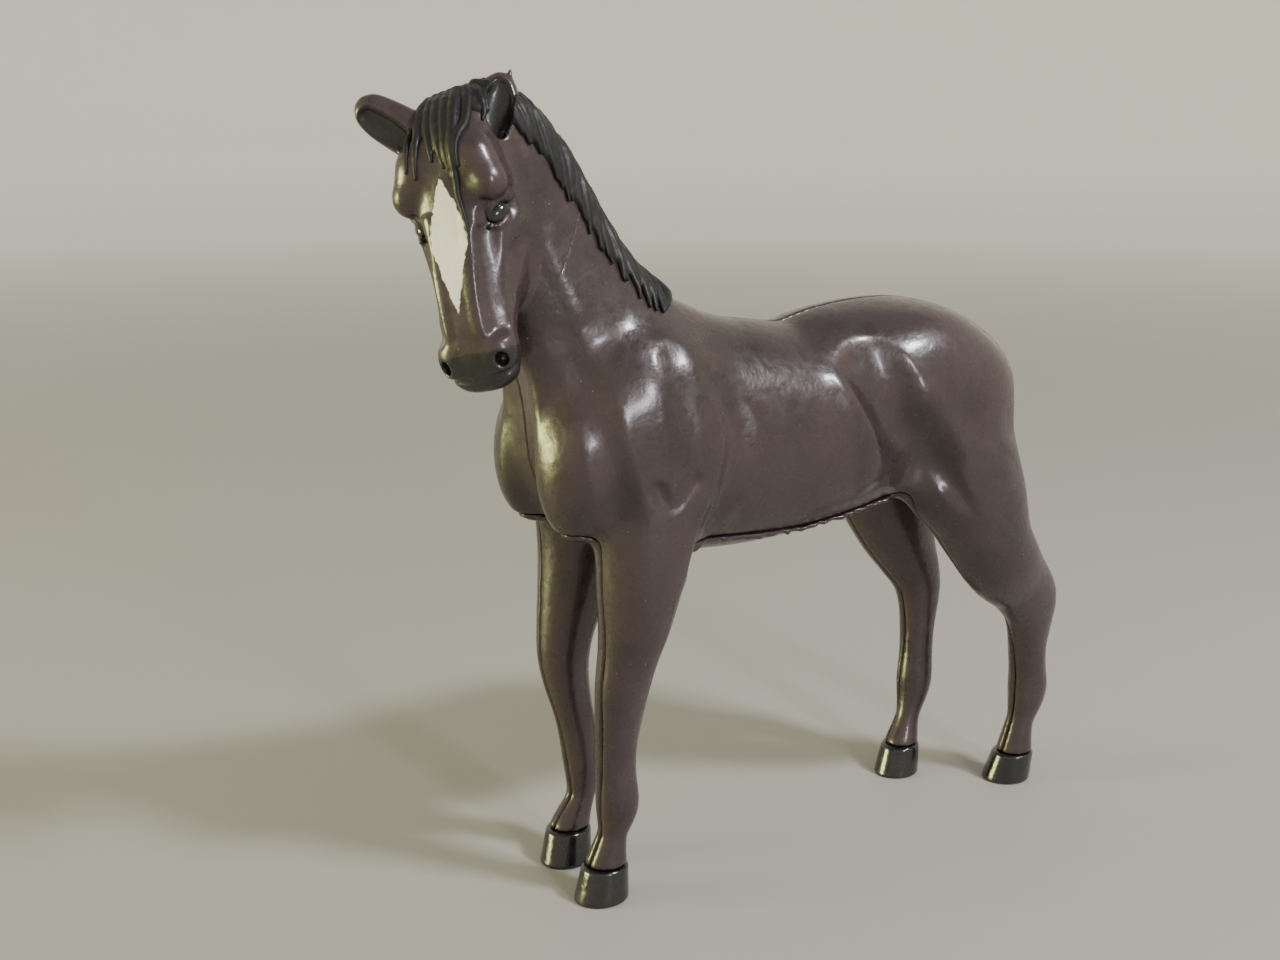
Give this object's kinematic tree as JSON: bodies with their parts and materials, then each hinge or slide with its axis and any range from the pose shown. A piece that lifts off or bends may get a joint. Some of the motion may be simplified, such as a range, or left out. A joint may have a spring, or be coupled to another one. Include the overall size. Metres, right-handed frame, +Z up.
{
  "type": "horse figurine",
  "caption": "Small standing horse figurine with its head turned to its left, glossy purple-brown paint, black mane and hooves, white blaze.",
  "frame": {"origin": "centre of the bounding box on the ground plane, under the trunk", "axes": "+Z up, nose towards -Y, +X is the horse's left side"},
  "size_m": [0.0416, 0.1446, 0.1495],
  "materials": {
    "body_paint": "glossy purple-brown paint over moulded plastic",
    "head_paint": "glossy purple-brown paint with a white blaze and a black muzzle",
    "hair_black": "satin black paint on moulded hair",
    "hoof_black": "glossy black paint",
    "eye_black": "glossy black paint"
  },
  "bodies": {
    "root": {"head": "head_paint", "left_shell": "body_paint", "right_shell": "body_paint", "underbelly_insert": "body_paint", "left_fore_hoof": "hoof_black", "right_fore_hoof": "hoof_black", "left_hind_hoof": "hoof_black", "right_hind_hoof": "hoof_black", "mane": "hair_black", "forelock": "hair_black", "tail": "hair_black", "left_eye": "eye_black", "right_eye": "eye_black"}
  },
  "joints": []
}
